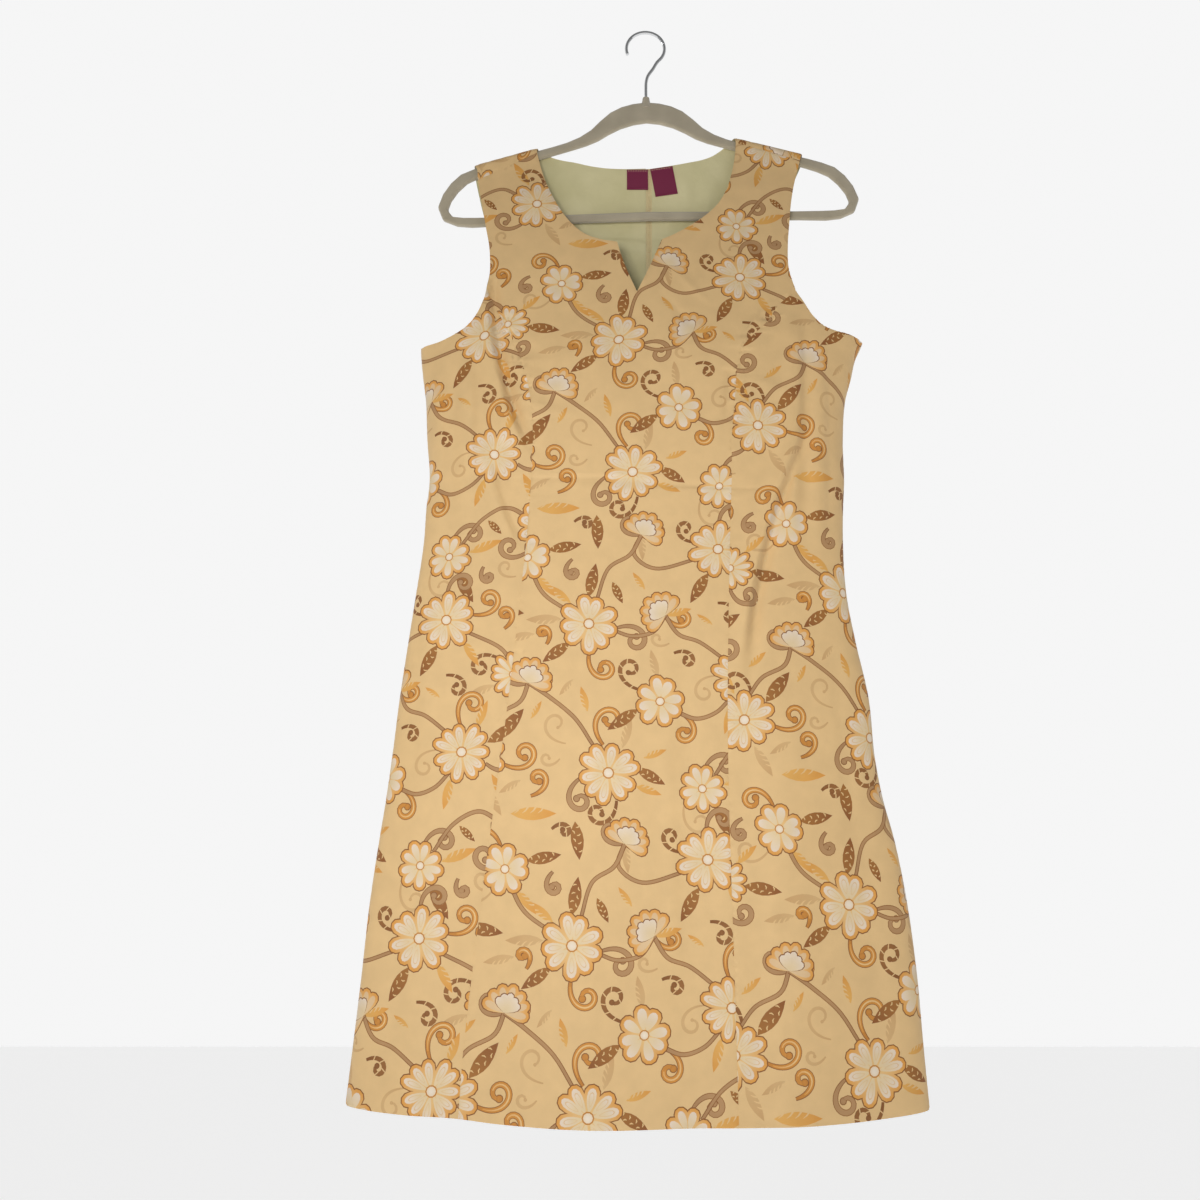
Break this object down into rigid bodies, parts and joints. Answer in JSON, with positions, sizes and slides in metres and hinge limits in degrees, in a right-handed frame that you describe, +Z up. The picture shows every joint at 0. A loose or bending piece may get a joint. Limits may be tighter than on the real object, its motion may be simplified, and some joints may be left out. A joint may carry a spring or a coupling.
{
  "type": "sleeveless shift dress on a hanger",
  "caption": "Sleeveless lined shift dress with princess seams, a slit neck and a centre back zip, hanging on a slim flocked hanger.",
  "frame": {"origin": "inside of the hook's crown, where a rail sits", "axes": "+X to the right seen from the front, +Y towards the back, +Z up; the front faces -Y"},
  "size_m": [0.5126, 0.0732, 1.1196],
  "materials": {
    "printed_cotton": "matt plain-weave cotton with a floral print",
    "lining_taffeta": "slightly lustrous plain lining",
    "woven_label": "woven satin tape, blank",
    "nylon_zip": "dyed nylon coil, closed",
    "enamelled_zinc": "enamelled die-cast zinc",
    "flocked_plastic": "taupe velvet flocking",
    "chromed_wire": "polished"
  },
  "bodies": {
    "dress": {"hanger": "flocked_plastic", "hanger_hook": "chromed_wire", "front_centre": "printed_cotton", "front_side_left": "printed_cotton", "front_side_right": "printed_cotton", "back_left": "printed_cotton", "back_right": "printed_cotton", "lining_front": "lining_taffeta", "lining_back_left": "lining_taffeta", "lining_back_right": "lining_taffeta", "label_neck": "woven_label", "label_care": "woven_label", "zip_chain": "nylon_zip", "zip_slider": "enamelled_zinc"},
    "pull": {"zip_pull": "enamelled_zinc"}
  },
  "joints": [
    {"name": "pull_hinge", "type": "hinge", "parent": "dress", "child": "pull", "pos_m": [0.00243, 0.01004, -0.17475], "axis": [1, 0, 0], "range_deg": [0, 150]}
  ]
}
